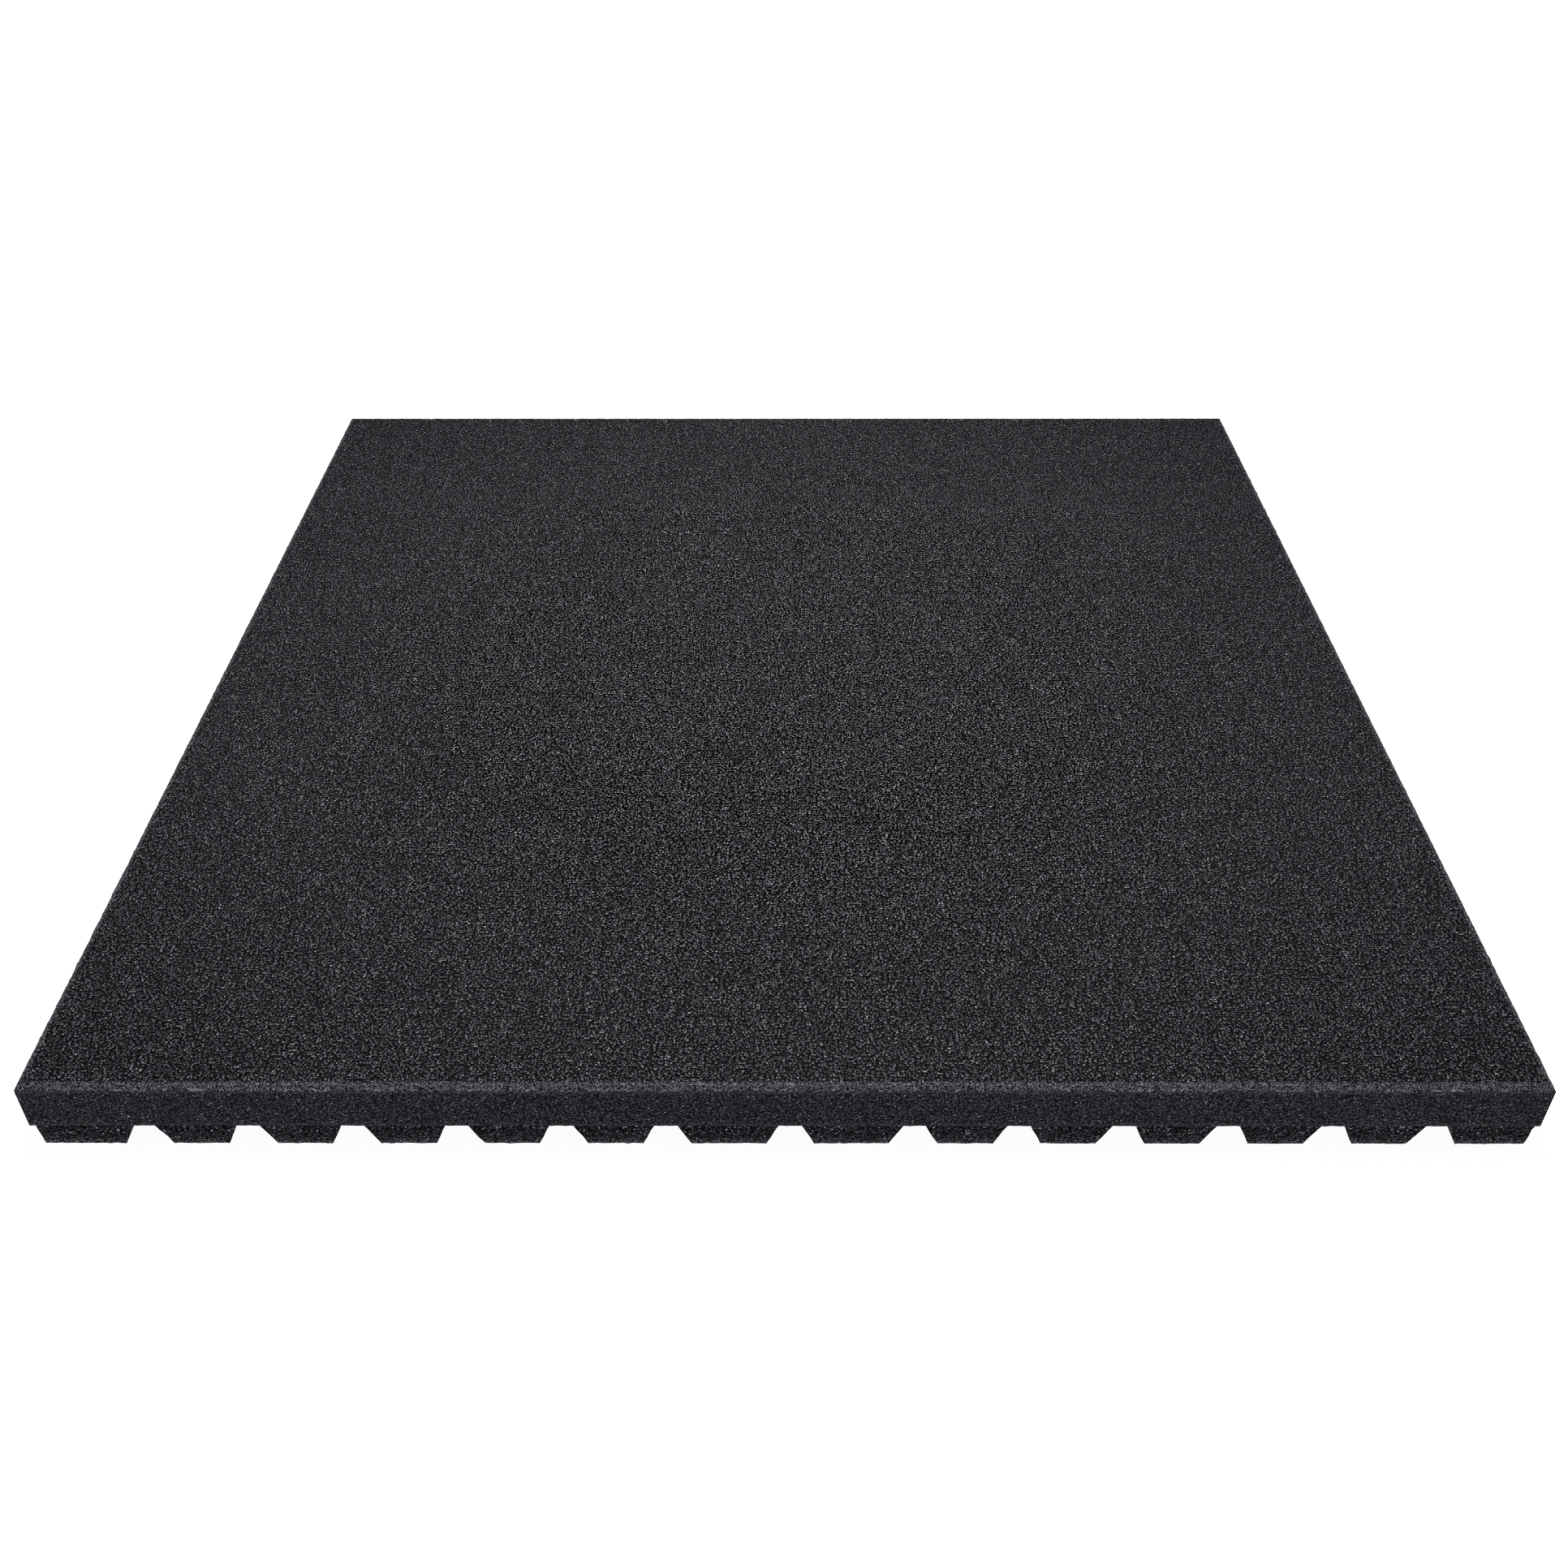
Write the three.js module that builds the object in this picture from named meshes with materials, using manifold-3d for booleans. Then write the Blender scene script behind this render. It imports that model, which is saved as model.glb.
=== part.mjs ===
// Rubber gym floor tile: one square piece of bonded rubber granulate that lies on moulded feet.
// Millimetres, +Z up, the origin under the middle of the tile and the edge seen in front at -Y.
import * as THREE from "three";
import { mergeVertices } from "three/addons/utils/BufferGeometryUtils.js";
import Module from "manifold-3d";

const wasm = await Module();
wasm.setup();

// The plate
const tileSide = 500;
const tileThickness = 30;
const topEdgeRadius = 3;
const topEdgeSteps = 4;

// The rim, where the feet stand back from the edge of the plate
const rimLedge = 1.3;
const rimDraft = 0.6;

// The feet, in rows both ways that lie a little off the middle, and the tapered channels between them
const footHeight = 11;
const modulesPerSide = 2;
const feetPerModule = 7;
const endFootExtra = 6.5;
const channelMouth = 16.2;
const channelCeiling = 6.5;
const rowsOffCentre = 2;
const cutBeyond = 5;

const feetPerSide = modulesPerSide * feetPerModule;
const endFeet = 2 * modulesPerSide;
const feetSpan = tileSide - 2 * (rimLedge + rimDraft);
const footWidth =
  (feetSpan - (feetPerSide - 1) * channelMouth - endFeet * endFootExtra) / feetPerSide;

// A geometry as a solid. The faces that a lathe folds flat at its axis are left out.
function solidOf(geometry) {
  const bare = geometry.clone();
  bare.deleteAttribute("normal");
  bare.deleteAttribute("uv");
  const merged = mergeVertices(bare, 1e-3);
  const corners = merged.index.array;
  const kept = [];
  for (let i = 0; i < corners.length; i += 3) {
    const [a, b, c] = [corners[i], corners[i + 1], corners[i + 2]];
    if (a !== b && b !== c && c !== a) kept.push(a, b, c);
  }
  return new wasm.Manifold(
    new wasm.Mesh({
      numProp: 3,
      vertProperties: merged.attributes.position.array,
      triVerts: new Uint32Array(kept),
    }),
  );
}

// A solid as a geometry to draw.
function geometryOf(solid) {
  const mesh = solid.getMesh();
  const geometry = new THREE.BufferGeometry();
  geometry.setAttribute("position", new THREE.BufferAttribute(mesh.vertProperties, 3));
  geometry.setIndex(new THREE.BufferAttribute(mesh.triVerts, 1));
  const flat = geometry.toNonIndexed();
  flat.computeVertexNormals();
  return flat;
}

// The plate with its rim: a lathe of four segments, turned so that its sides face along X and Y.
function plate() {
  const half = tileSide / 2;
  const edge = [
    [0, 0],
    [half - rimLedge - rimDraft, 0],
    [half - rimLedge, footHeight],
    [half, footHeight],
  ];
  for (let step = 0; step <= topEdgeSteps; step += 1) {
    const angle = (step / topEdgeSteps) * (Math.PI / 2);
    edge.push([
      half - topEdgeRadius * (1 - Math.cos(angle)),
      tileThickness - topEdgeRadius * (1 - Math.sin(angle)),
    ]);
  }
  edge.push([0, tileThickness]);
  const outline = edge.map(([across, up]) => new THREE.Vector2(across * Math.SQRT2, up));
  const square = new THREE.LatheGeometry(outline, 4, Math.PI / 4);
  square.rotateX(Math.PI / 2);
  return solidOf(square);
}

// Where the middle of each channel lies across the tile, from one edge to the other.
function channelPlaces() {
  const places = [];
  let reached = rowsOffCentre - feetSpan / 2;
  for (let foot = 0; foot < feetPerSide - 1; foot += 1) {
    const inModule = foot % feetPerModule;
    const atModuleEnd = inModule === 0 || inModule === feetPerModule - 1;
    reached += footWidth + (atModuleEnd ? endFootExtra : 0);
    places.push(reached + channelMouth / 2);
    reached += channelMouth;
  }
  return places;
}

// One channel right through the tile along Y, wider at its mouth than at its ceiling.
function channelCut() {
  const slope = (channelMouth - channelCeiling) / 2 / footHeight;
  const section = new THREE.Shape();
  section.moveTo(-channelCeiling / 2, footHeight);
  section.lineTo(-channelMouth / 2 - slope * cutBeyond, -cutBeyond);
  section.lineTo(channelMouth / 2 + slope * cutBeyond, -cutBeyond);
  section.lineTo(channelCeiling / 2, footHeight);
  section.closePath();
  const length = tileSide + 2 * cutBeyond;
  const bar = new THREE.ExtrudeGeometry(section, { depth: length, bevelEnabled: false });
  bar.rotateX(Math.PI / 2);
  bar.translate(0, length / 2, 0);
  return solidOf(bar);
}

function tile() {
  const cut = channelCut();
  const cuts = [];
  for (const place of channelPlaces()) {
    const alongY = cut.translate([place, 0, 0]);
    cuts.push(alongY, alongY.rotate([0, 0, 90]));
  }
  return plate().subtract(wasm.Manifold.union(cuts));
}

const rubber = new THREE.MeshStandardMaterial({
  name: "rubber_granulate",
  color: 0x37373a,
  roughness: 0.85,
  metalness: 0,
});

const rubberTile = new THREE.Mesh(geometryOf(tile()), rubber);
rubberTile.name = "rubber_tile";

const part = new THREE.Group();
part.name = "rubber_gym_floor_tile";
part.add(rubberTile);

export default part;
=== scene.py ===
"""Rubber gym floor tile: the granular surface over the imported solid, with its floor, lights and camera."""
import math

import bpy
import numpy as np
from mathutils import Matrix, Vector, noise


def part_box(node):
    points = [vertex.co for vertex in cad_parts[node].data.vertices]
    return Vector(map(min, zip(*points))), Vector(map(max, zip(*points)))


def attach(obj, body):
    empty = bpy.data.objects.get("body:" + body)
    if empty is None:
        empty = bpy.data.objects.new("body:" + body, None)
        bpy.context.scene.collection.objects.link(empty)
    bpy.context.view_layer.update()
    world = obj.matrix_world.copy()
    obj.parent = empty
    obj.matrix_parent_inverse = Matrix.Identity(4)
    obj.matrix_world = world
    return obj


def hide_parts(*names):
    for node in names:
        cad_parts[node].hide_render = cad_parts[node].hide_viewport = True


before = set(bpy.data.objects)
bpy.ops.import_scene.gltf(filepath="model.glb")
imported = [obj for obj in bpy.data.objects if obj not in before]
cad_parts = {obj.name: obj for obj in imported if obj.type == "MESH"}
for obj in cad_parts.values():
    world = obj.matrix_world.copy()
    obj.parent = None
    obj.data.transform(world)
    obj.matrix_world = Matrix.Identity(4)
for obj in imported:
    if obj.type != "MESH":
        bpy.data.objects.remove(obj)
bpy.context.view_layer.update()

TILE = "rubber_tile"
MM = 0.001

# Surface mesh: the size of its cells, and how far its points stray from the moulded shape
FINE_CELL = 1.75 * MM
SIDE_CELL = 1.9 * MM
COARSE_CELL = 6.5 * MM
EDGE_RING_CELLS = 3
FIRST_SIDE_CELL = 0.4 * MM
FINE_STRAY = 0.30 * MM
COARSE_STRAY = 0.10 * MM
OUTWARD = 0.8
OUTWARD_POWER = 9
STRAY_GRAIN = 1.9 * MM
STRAY_SEED = 7
POINTS_PER_METRE = 1e5
PLACE_DIGITS = 5
LEVEL_SLACK = 2e-5
TINY = 1e-7

# How much painted highlight the edges carry: along each ring of the rounding from the top down, at the ledge
# and at the floor
ARC_HIGHLIGHT = (0.0, 0.6, 0.78, 1.0, 0.3)
LEDGE_HIGHLIGHT = 0.48
FOOT_HIGHLIGHT = 0.25

# Granulate: the width of its grains, how far they reach as a share of it, and their relief
GRAIN = 0.90 * MM
SIDE_GRAIN = 0.80 * MM
SMALL_GRAIN = 0.50 * MM
GRAIN_SCATTER = 0.92
FLAT_REACH = 0.52
ROUND_REACH = 0.68
GRAIN_RELIEF = 0.30 * MM
SMALL_RELIEF = 0.16 * MM
BEND = 0.6 * MM
BENDS_PER_METRE = 700.0
PATCHES_PER_METRE = 22.0
FLECKS_PER_METRE = 330.0
# How high above the floor the painted glints reach
GLINT_SPECK_HEIGHT = 4.0 * MM

# Tones that are mixed in, how much of them, and how far from the middle the evening begins and ends; several
# of them are painted light or shade
# Painted sheen fall-off: away from the middle the walking surface is evened toward this darker tone
OFF_SHEEN_TONE = (0.042, 0.0417, 0.0445)
SHEEN_FALLOFF_SHARE = 0.13
SHEEN_FALLOFF_FROM = 0.13
SHEEN_FALLOFF_TO = 0.23
# Lightens and evens the upright sides, which leaves painted shade on the feet below them
UPRIGHT_TONE = (0.127, 0.1255, 0.128)
UPRIGHT_EVENNESS = 0.11
# Painted highlight on the rounding and along the edges
ROUNDING_HIGHLIGHT_TONE = (0.290, 0.286, 0.298)
ROUNDING_HIGHLIGHT_SHARE = 0.8
FLECK_TONE = (0.75, 0.73, 0.70)
# Painted glints on small grains near the floor
GLINT_SPECK_TONE = (0.80, 0.75, 0.65)
SPECULAR = 0.02

# Studio: its half width, how brightly its sheets glow, its sky and its one lamp
STUDIO_HALF = 6.0
FLOOR_GLOW = 0.955
WALL_GLOW = 0.97
SKY_TINT = (0.99, 0.98, 1.24)
SKY_STRENGTH = 0.275
LAMP_HEIGHT = 0.5
LAMP_SIDE = 0.40
LAMP_WATTS = 2.98

# Camera, as solved from the tile's outline in the photograph
PHOTO_SIDE_PIXELS = 1932
PHOTO_FOCAL_PIXELS = 1928
SENSOR = 36.0
CAMERA_PLACE = (0.00092, -0.5873, 0.41986)
CAMERA_PITCH_DOWN = 38.153
CAMERA_YAW = 0.142
CAMERA_ROLL = -0.077


def read_section(node):
    """The levels and breaks of the moulded shape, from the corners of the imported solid."""
    corners = np.array([tuple(v.co) for v in node.data.vertices])
    heights = sorted(set(float(h) for h in np.round(corners[:, 2], PLACE_DIGITS)))

    def places_at(height):
        level = np.isclose(corners[:, 2], height, atol=LEVEL_SLACK)
        return sorted(set(float(x) for x in np.round(corners[level, 0], PLACE_DIGITS)))

    foot_edges = places_at(heights[0])
    ceiling_level = places_at(heights[1])
    ceiling_edges = []
    for foot_end, next_foot in zip(foot_edges[1::2], foot_edges[2::2]):
        ceiling = [x for x in ceiling_level if foot_end < x < next_foot]
        ceiling_edges += [ceiling[0], ceiling[-1]]
    return {
        "foot_top": heights[1],
        "foot_half": foot_edges[-1],
        "ledge_half": min(x for x in ceiling_level if x > foot_edges[-1]),
        "plate_half": ceiling_level[-1],
        "foot_edges": foot_edges,
        "ceiling_edges": ceiling_edges,
        "rounding": [(height, places_at(height)[-1]) for height in heights[2:]],
    }


section = read_section(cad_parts[TILE])
FOOT_TOP = section["foot_top"]
SIDE_TOP = section["rounding"][0][0]
TOP, TOP_HALF = section["rounding"][-1]
WAVE_STOPS = sorted(section["foot_edges"] + section["ceiling_edges"])
WAVE_HEIGHTS = [0.0 if stop in section["foot_edges"] else FOOT_TOP for stop in WAVE_STOPS]


def wave(place):
    """Height of the underside along one line: zero on the feet, the ceiling's height in the channels."""
    return float(np.interp(place, WAVE_STOPS, WAVE_HEIGHTS))


def foot_reach(height):
    """How far out the outer side of the end feet stands at a height."""
    share = min(1.0, height / FOOT_TOP)
    return section["foot_half"] + (section["ledge_half"] - section["foot_half"]) * share


def split(stops, cell):
    """The stops with even steps put between them, none longer than the cell."""
    line = []
    for start, end in zip(stops, stops[1:]):
        steps = max(1, math.ceil((end - start) / cell - 1e-6))
        line += [start + (end - start) * step / steps for step in range(steps)]
    return line + [stops[-1]]


def nearest(columns, place):
    """The column that lies nearest to a place."""
    return min(columns, key=lambda column: abs(column - place))


def coarse_lines(stops, columns):
    """Lines for the coarse cells, each on one of the finer columns, so that the seams close."""
    return sorted({nearest(columns, place) for place in split(stops, COARSE_CELL)})


class Skin:
    """Faces that share their points. A point keeps its share of painted edge highlight, its kind of surface
    and its stray.
    """

    def __init__(self):
        self.points = []
        self.grey = []
        self.side = []
        self.stray = []
        self.found = {}
        self.faces = []

    def point(self, place, grey, stray, side=1.0):
        key = tuple(round(value * POINTS_PER_METRE) for value in place)
        if key not in self.found:
            self.found[key] = len(self.points)
            self.points.append(place)
            self.grey.append(grey)
            self.side.append(side)
            self.stray.append(stray)
        return self.found[key]

    def face(self, places, stray=FINE_STRAY, side=1.0):
        corners = []
        for place in places:
            number = self.point(place, 0.0, stray, side)
            if number not in corners:
                corners.append(number)
        if len(corners) > 2:
            self.faces.append(corners)


def loop(columns, height_at, half_at):
    """Points round the tile, a point to each column, on the front, right, back and left side."""
    ring = []
    for turn in range(4):
        seen = columns if turn < 2 else columns[::-1]
        for column in seen[:-1]:
            height = height_at(column)
            half = half_at(height)
            along = column if turn < 2 else -column
            x, y = (-half if column == seen[0] else along), -half
            for _ in range(turn):
                x, y = -y, x
            ring.append((x, y, height))
    return ring


def stitch(skin, upper, lower):
    """Quads between two loops, facing out."""
    for i in range(len(upper)):
        j = (i + 1) % len(upper)
        skin.face([lower[i], lower[j], upper[j], upper[i]])


def seam_run(start, end, finer):
    """Places from the start towards the end, the finer ones between them included."""
    low, high = min(start, end) + TINY, max(start, end) - TINY
    between = [place for place in finer if low < place < high]
    return [start] + (between if start < end else between[::-1])


def coarse_cells(skin, lines, finer, point_at, facing_up):
    """Cells over a square. The outermost ones take up the finer places along its boundary."""
    low, high = lines[0], lines[-1]
    for x0, x1 in zip(lines, lines[1:]):
        for y0, y1 in zip(lines, lines[1:]):
            front = [(x, y0) for x in (seam_run(x0, x1, finer) if y0 == low else [x0])]
            right = [(x1, y) for y in (seam_run(y0, y1, finer) if x1 == high else [y0])]
            back = [(x, y1) for x in (seam_run(x1, x0, finer) if y1 == high else [x1])]
            left = [(x0, y) for y in (seam_run(y1, y0, finer) if x0 == low else [y1])]
            places = [point_at(x, y) for x, y in front + right + back + left]
            side = 0.0 if facing_up else 1.0
            skin.face(places if facing_up else places[::-1], COARSE_STRAY, side)


def border_cells(skin, lines, low, high, point_at, facing_up):
    """Cells between a square and the seam inside it, which runs from low to high both ways."""
    for x0, x1 in zip(lines, lines[1:]):
        for y0, y1 in zip(lines, lines[1:]):
            if min(x0, y0) < low or max(x1, y1) > high:
                places = [point_at(x, y) for x, y in ((x0, y0), (x1, y0), (x1, y1), (x0, y1))]
                side = 0.0 if facing_up else 1.0
                skin.face(places if facing_up else places[::-1], FINE_STRAY, side)


def under_point(x, y):
    """A point of the underside. On its outer boundary it follows the draft of the end feet."""
    height = max(wave(x), wave(y))
    limit = section["foot_half"] - TINY
    reach = foot_reach(height)
    return (
        math.copysign(reach, x) if abs(x) > limit else x,
        math.copysign(reach, y) if abs(y) > limit else y,
        height,
    )


def top_point(x, y):
    """A point of the walking surface."""
    return (x, y, TOP)


def build_skin():
    """The whole surface of the tile as one closed sheet of cells."""
    skin = Skin()
    columns = split(WAVE_STOPS, FINE_CELL)

    # The rounding along the top edge is made first, so that its points keep their share of painted highlight
    rounding = []
    for height, half in reversed(section["rounding"]):
        rounding.append(loop(columns, lambda _, h=height: h, lambda _, w=half: w))
    for ring, grey in zip(rounding, ARC_HIGHLIGHT):
        for place in ring:
            skin.point(place, grey, FINE_STRAY, 1.0 if ring is rounding[-1] else 0.0)
    for upper, lower in zip(rounding, rounding[1:]):
        stitch(skin, upper, lower)

    # The upright side, the ledge under it and the outer sides of the end feet
    # The ledge and the feet's bottom edge carry a little painted highlight
    for place in loop(columns, lambda _: FOOT_TOP, lambda _: section["plate_half"]):
        skin.point(place, LEDGE_HIGHLIGHT, FINE_STRAY)
    for place in loop(columns, wave, foot_reach):
        skin.point(place, FOOT_HIGHLIGHT if place[2] == 0.0 else 0.0, FINE_STRAY)
    side = []
    upright = split([FOOT_TOP, SIDE_TOP - FIRST_SIDE_CELL], SIDE_CELL)
    for height in [SIDE_TOP] + upright[::-1]:
        side.append(loop(columns, lambda _, h=height: h, lambda _: section["plate_half"]))
    foot_rows = max(1, round(FOOT_TOP / SIDE_CELL))
    for row in range(foot_rows + 1):
        share = row / foot_rows
        side.append(loop(columns, lambda s, k=share: FOOT_TOP - (FOOT_TOP - wave(s)) * k, foot_reach))
    for upper, lower in zip(side, side[1:]):
        stitch(skin, upper, lower)

    # The underside: fine as far as the middle of the outermost channels, and coarser within
    ceilings = section["ceiling_edges"]
    low, high = [nearest(columns, sum(channel) / 2) for channel in (ceilings[:2], ceilings[-2:])]
    border_cells(skin, columns, low, high, under_point, False)
    stops = [low] + [stop for stop in WAVE_STOPS if low < stop < high] + [high]
    coarse_cells(skin, coarse_lines(stops, columns), columns, under_point, False)

    # The walking surface, in the same way
    top_lines = [-TOP_HALF] + columns[1:-1] + [TOP_HALF]
    low, high = columns[EDGE_RING_CELLS], columns[-1 - EDGE_RING_CELLS]
    border_cells(skin, top_lines, low, high, top_point, True)
    coarse_cells(skin, coarse_lines([low, high], columns), columns, top_point, True)
    return skin


def rough(place, stray, low, high):
    """The place moved unevenly, outward on the whole near the box's faces, and kept inside that box."""
    outward = Vector((place[0] / high[0], place[1] / high[1], 2 * place[2] / high[2] - 1))
    outward = Vector([round(value ** OUTWARD_POWER, 3) for value in outward])
    uneven = noise.noise_vector(Vector(place) / STRAY_GRAIN)
    moved = Vector(place) + (uneven + outward * OUTWARD) * stray
    return tuple(min(max(moved[axis], low[axis]), high[axis]) for axis in range(3))


def make_tile():
    """The tile's skin as one object."""
    low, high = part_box(TILE)
    skin = build_skin()
    noise.seed_set(STRAY_SEED)
    places = [rough(p, s, low, high) for p, s in zip(skin.points, skin.stray)]
    mesh = bpy.data.meshes.new("granulate_tile")
    mesh.from_pydata(places, [], skin.faces)
    for name, values in (("edge_highlight", skin.grey), ("moulded_side", skin.side)):
        mesh.attributes.new(name, "FLOAT", "POINT").data.foreach_set("value", values)
    mesh.polygons.foreach_set("use_smooth", [True] * len(mesh.polygons))
    mesh.update()
    tile = bpy.data.objects.new("granulate_tile", mesh)
    bpy.context.scene.collection.objects.link(tile)
    return tile


class Shader:
    """A node material, built up socket by socket."""

    def __init__(self, name):
        self.material = bpy.data.materials.new(name)
        self.material.use_nodes = True
        self.tree = self.material.node_tree
        self.tree.nodes.clear()

    def node(self, kind, inputs=None, **settings):
        made = self.tree.nodes.new(kind)
        for key, value in settings.items():
            setattr(made, key, value)
        for key, value in (inputs or {}).items():
            self.feed(made.inputs[key], value)
        return made

    def feed(self, socket, value):
        """Link another node's output to a socket, or set the socket's own value."""
        if isinstance(value, bpy.types.NodeSocket):
            self.tree.links.new(value, socket)
        else:
            socket.default_value = value

    def maths(self, operation, *values, clamp=False):
        inputs = dict(enumerate(values))
        return self.node("ShaderNodeMath", inputs, operation=operation, use_clamp=clamp).outputs[0]

    def vector(self, operation, *values, scale=None):
        inputs = dict(enumerate(values))
        if scale is not None:
            inputs["Scale"] = scale
        made = self.node("ShaderNodeVectorMath", inputs, operation=operation)
        return made.outputs["Value" if operation == "LENGTH" else "Vector"]

    def ramp(self, value, stops):
        """A ramp of greys or colours, straight between its stops."""
        made = self.node("ShaderNodeValToRGB", {"Fac": value})
        elements = made.color_ramp.elements
        while len(elements) < len(stops):
            elements.new(0.5)
        for element, (place, colour) in zip(elements, stops):
            element.position = place
            element.color = (*(colour if isinstance(colour, tuple) else (colour,) * 3), 1.0)
        return made.outputs["Color"]

    def mix(self, factor, first, second, blend="MIX"):
        """One colour mixed into another."""
        made = self.node("ShaderNodeMix", {0: factor}, data_type="RGBA", blend_type=blend)
        for key, value in ((6, first), (7, second)):
            self.feed(made.inputs[key], (*value, 1.0) if isinstance(value, tuple) else value)
        return made.outputs[2]

    def times(self, first, second):
        """Two colours multiplied."""
        return self.mix(1.0, first, second, "MULTIPLY")

    def either(self, factor, first, second):
        """The first number where the factor is 0, and the second where it is 1."""
        inputs = {0: factor, 2: first, 3: second}
        return self.node("ShaderNodeMix", inputs, data_type="FLOAT").outputs[0]

    def cloud(self, place, scale, detail):
        """A noise texture."""
        return self.node("ShaderNodeTexNoise", {"Vector": place, "Scale": scale, "Detail": detail})


def grains(shader, place, width, reach, relief, dimensions="3D"):
    """Grains of one width: their relief in metres, random numbers of each, and how near its middle lies."""
    cell = shader.node(
        "ShaderNodeTexVoronoi",
        {"Vector": place, "Scale": 1.0 / width, "Randomness": GRAIN_SCATTER},
        feature="F1",
        voronoi_dimensions=dimensions,
    )
    room = shader.maths("SUBTRACT", reach, cell.outputs["Distance"])
    near = shader.maths("DIVIDE", room, reach, clamp=True)
    own = shader.node("ShaderNodeSeparateColor", {"Color": cell.outputs["Color"]})
    return shader.maths("MULTIPLY", near, relief), own, near


def granulate():
    """Black rubber granulate: grey grains with painted shade in the gaps between them, and a painted
    highlight along the edges.
    """
    shader = Shader("black_granulate")
    place = shader.node("ShaderNodeTexCoord").outputs["Object"]
    side = shader.node("ShaderNodeAttribute", attribute_name="moulded_side").outputs["Fac"]
    grey = shader.node("ShaderNodeAttribute", attribute_name="edge_highlight").outputs["Fac"]
    bend = shader.cloud(place, BENDS_PER_METRE, 1.0)
    shift = shader.vector("SUBTRACT", bend.outputs["Color"], (0.5, 0.5, 0.5))
    bent = shader.vector("ADD", place, shader.vector("SCALE", shift, scale=BEND))

    flat_relief, flat_own, flat_near = grains(shader, bent, GRAIN, FLAT_REACH, GRAIN_RELIEF, "2D")
    deep_relief, deep_own, deep_near = grains(shader, bent, SIDE_GRAIN, ROUND_REACH, GRAIN_RELIEF)
    fine_relief, fine_own, fine_near = grains(shader, bent, SMALL_GRAIN, ROUND_REACH, SMALL_RELIEF)
    on_side = shader.maths("GREATER_THAN", side, 0.5)
    near = shader.either(on_side, flat_near, deep_near)
    relief = shader.either(on_side, flat_relief, deep_relief)
    height = shader.maths("ADD", relief, fine_relief)

    # The walking surface: grey grains with painted shade in the gaps between them, and small ones over them
    body = shader.ramp(
        flat_own.outputs[1],
        [(0.0, (0.022, 0.022, 0.0227)), (0.3, (0.060, 0.060, 0.0618)), (0.7, (0.121, 0.121, 0.1245)),
         (0.93, (0.178, 0.178, 0.182)), (1.0, (0.35, 0.345, 0.34))],
    )
    crevice_shade = shader.ramp(near, [(0.0, 0.005), (0.14, 0.05), (0.42, 0.90), (0.6, 1.0)])
    fine_tone = shader.ramp(fine_own.outputs[1], [(0.0, 0.40), (0.5, 0.95), (1.0, 1.9)])
    top_tone = shader.times(shader.times(body, fine_tone), crevice_shade)

    # The moulded sides: fine dark grains with a few bright ones among them, with painted shade in their
    # gaps; their tones are lighter than the walking surface's, a painted stand-in for the light the floor
    # throws back
    side_body_with_bounce = shader.ramp(
        deep_own.outputs[1],
        [(0.0, (0.052, 0.052, 0.053)), (0.45, (0.102, 0.102, 0.105)), (0.80, (0.180, 0.178, 0.182)),
         (0.93, (0.39, 0.378, 0.358)), (1.0, (1.0, 0.95, 0.84))],
    )
    side_tone = shader.times(shader.times(side_body_with_bounce, fine_tone), crevice_shade)
    colour = shader.mix(on_side, top_tone, side_tone)

    # Warm and cool grains, and patches that are a little lighter or darker
    tint = shader.ramp(
        deep_own.outputs[2],
        [(0.0, (1.0, 0.78, 0.55)), (0.08, (1.0, 0.92, 0.80)), (0.2, (1.0, 0.98, 0.96)),
         (0.5, (1.0, 1.0, 1.0)), (0.9, (0.97, 0.99, 1.05)), (1.0, (0.86, 0.94, 1.14))],
    )
    colour = shader.times(colour, tint)
    patches = shader.cloud(place, PATCHES_PER_METRE, 3.0)
    patch_tone = shader.ramp(patches.outputs["Fac"], [(0.3, 0.95), (0.7, 1.05)])
    colour = shader.times(colour, patch_tone)

    # Painted sheen: away from the middle of the walking surface the tones of the grains differ less and are
    # drawn toward a darker tone, as the sheen of the light falls off
    from_middle = shader.vector("LENGTH", place)
    outer = shader.ramp(from_middle, [(SHEEN_FALLOFF_FROM, 0.0), (SHEEN_FALLOFF_TO, SHEEN_FALLOFF_SHARE)])
    sheen_falloff = shader.maths("MULTIPLY", outer, shader.maths("SUBTRACT", 1.0, on_side))
    colour = shader.mix(sheen_falloff, colour, OFF_SHEEN_TONE)

    # The upright sides are a more even and slightly lighter grey than the feet under them, which leaves
    # painted shade on the feet near the floor
    up = shader.node("ShaderNodeSeparateXYZ", {0: place}).outputs["Z"]
    upright = shader.maths("MULTIPLY", on_side, shader.maths("GREATER_THAN", up, FOOT_TOP))
    colour = shader.mix(shader.maths("MULTIPLY", upright, UPRIGHT_EVENNESS), colour, UPRIGHT_TONE)

    # Painted highlight: the rounding along the edges, and faintly the ledge and the feet's bottom edge,
    # where the grains are drawn a lighter grey
    rounding_highlight = shader.times(ROUNDING_HIGHLIGHT_TONE, fine_tone)
    rounding_highlight = shader.times(rounding_highlight, shader.ramp(fine_near, [(0.0, 0.05), (0.4, 1.0)]))
    colour = shader.mix(shader.maths("MULTIPLY", grey, ROUNDING_HIGHLIGHT_SHARE), colour, rounding_highlight)

    # Short pale curved flecks, low on the rounding
    winding = shader.cloud(place, FLECKS_PER_METRE, 1.0)
    off_line = shader.maths("ABSOLUTE", shader.maths("SUBTRACT", winding.outputs["Fac"], 0.5))
    on_line = shader.ramp(off_line, [(0.0, 1.0), (0.035, 0.0)])
    at_corner = shader.ramp(grey, [(0.78, 0.0), (0.95, 1.0)])
    colour = shader.mix(shader.times(on_line, at_corner), colour, FLECK_TONE)

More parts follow.
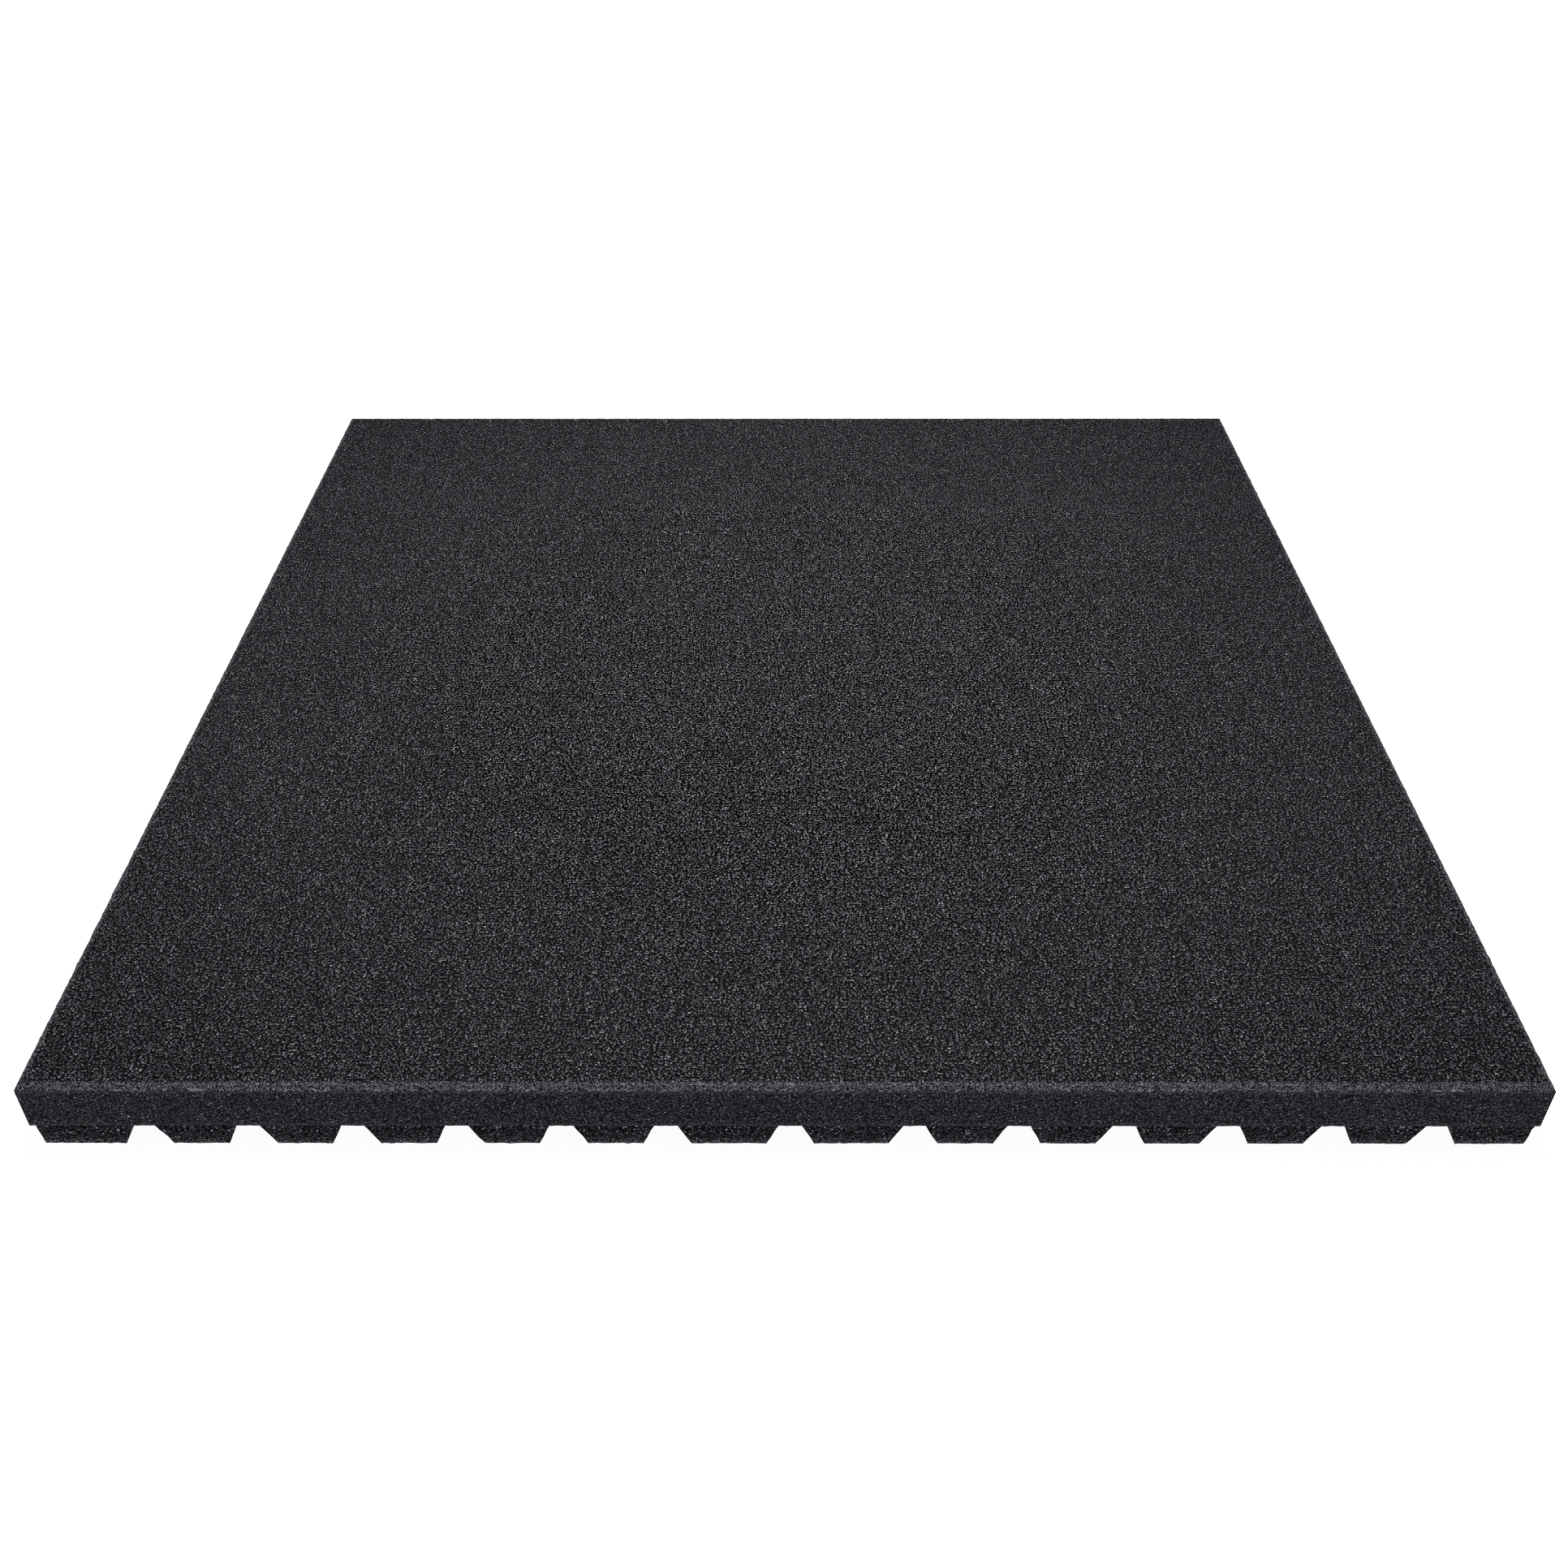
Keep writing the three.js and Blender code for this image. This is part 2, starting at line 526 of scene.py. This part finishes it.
    # Painted glints: near the floor some of the small grains are drawn pale, as if they catch the light
    low_down = shader.ramp(shader.maths("DIVIDE", up, GLINT_SPECK_HEIGHT), [(0.0, 1.0), (0.35, 0.5), (1.0, 0.0)])
    chosen = shader.ramp(fine_own.outputs[0], [(0.70, 0.0), (0.80, 1.0)])
    glint_specks = shader.times(chosen, shader.ramp(fine_near, [(0.1, 0.0), (0.4, 1.0)]))
    colour = shader.mix(shader.times(glint_specks, low_down), colour, GLINT_SPECK_TONE)

    roughness = shader.node(
        "ShaderNodeMapRange",
        {"Value": fine_own.outputs[2], "From Min": 0.0, "From Max": 1.0, "To Min": 0.50, "To Max": 0.80},
    ).outputs["Result"]
    bump = shader.node("ShaderNodeBump", {"Height": height, "Strength": 1.0, "Distance": 1.0})
    surface = shader.node(
        "ShaderNodeBsdfPrincipled",
        {
            "Base Color": colour,
            "Roughness": roughness,
            "Specular IOR Level": SPECULAR,
            "Normal": bump.outputs["Normal"],
        },
    )
    shader.node("ShaderNodeOutputMaterial", {"Surface": surface.outputs["BSDF"]})
    return shader.material


def studio_sheet(name, points, faces, glow):
    """A plain white sheet of the studio. It glows, and casts no diffuse light."""
    mesh = bpy.data.meshes.new(name)
    mesh.from_pydata(points, [], faces)
    sheet = bpy.data.objects.new(name, mesh)
    bpy.context.scene.collection.objects.link(sheet)
    shader = Shader(name)
    surface = shader.node(
        "ShaderNodeBsdfPrincipled",
        {
            "Base Color": (0.15, 0.15, 0.15, 1.0),
            "Roughness": 0.9,
            "Specular IOR Level": 0.1,
            "Emission Color": (1.0, 1.0, 1.0, 1.0),
            "Emission Strength": glow,
        },
    )
    shader.node("ShaderNodeOutputMaterial", {"Surface": surface.outputs["BSDF"]})
    mesh.materials.append(shader.material)
    sheet.visible_diffuse = False
    return sheet


def make_studio():
    """A white floor, laid where the feet stand, and white walls round it that only the camera sees."""
    corners = [(-1, -1), (1, -1), (1, 1), (-1, 1)]
    low = [(x * STUDIO_HALF, y * STUDIO_HALF, 0.0) for x, y in corners]
    high = [(x, y, STUDIO_HALF) for x, y, _ in low]
    studio_sheet("studio_floor", low, [(0, 1, 2, 3)], FLOOR_GLOW)
    walls = [(i, 4 + i, 4 + (i + 1) % 4, (i + 1) % 4) for i in range(4)]
    backdrop = studio_sheet("studio_walls", low + high, walls, WALL_GLOW)
    backdrop.visible_glossy = False
    backdrop.visible_shadow = False


def make_lamp():
    """A square soft light over the middle of the tile, facing down."""
    data = bpy.data.lights.new("overhead", "AREA")
    data.shape = "RECTANGLE"
    data.size = LAMP_SIDE
    data.size_y = LAMP_SIDE
    data.energy = LAMP_WATTS
    lamp = bpy.data.objects.new("overhead", data)
    lamp.location = (0.0, 0.0, LAMP_HEIGHT)
    bpy.context.scene.collection.objects.link(lamp)


def make_sky():
    """An even light from all round."""
    world = bpy.data.worlds.new("studio")
    world.use_nodes = True
    background = world.node_tree.nodes["Background"]
    background.inputs["Color"].default_value = (*SKY_TINT, 1.0)
    background.inputs["Strength"].default_value = SKY_STRENGTH
    bpy.context.scene.world = world


def make_camera():
    """A camera where the photograph's camera stood, with its angle of view."""
    data = bpy.data.cameras.new("photo_camera")
    data.sensor_width = SENSOR
    data.lens = SENSOR * PHOTO_FOCAL_PIXELS / PHOTO_SIDE_PIXELS
    data.clip_start = 0.01
    data.clip_end = 50.0
    camera = bpy.data.objects.new("photo_camera", data)
    camera.location = CAMERA_PLACE
    turns = ((CAMERA_YAW, "Z"), (90 - CAMERA_PITCH_DOWN, "X"), (CAMERA_ROLL, "Z"))
    turned = Matrix.Identity(3)
    for degrees, axis in turns:
        turned = turned @ Matrix.Rotation(math.radians(degrees), 3, axis)
    camera.rotation_euler = turned.to_euler()
    bpy.context.scene.collection.objects.link(camera)
    bpy.context.scene.camera = camera


# Plain colours, and no smoothing of the grain
bpy.context.scene.view_settings.view_transform = "Standard"
bpy.context.scene.cycles.use_denoising = False
bpy.context.scene.cycles.filter_width = 1.0
tile = make_tile()
tile.data.materials.append(granulate())
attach(tile, "root")
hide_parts(TILE)
make_studio()
make_camera()
make_sky()
make_lamp()
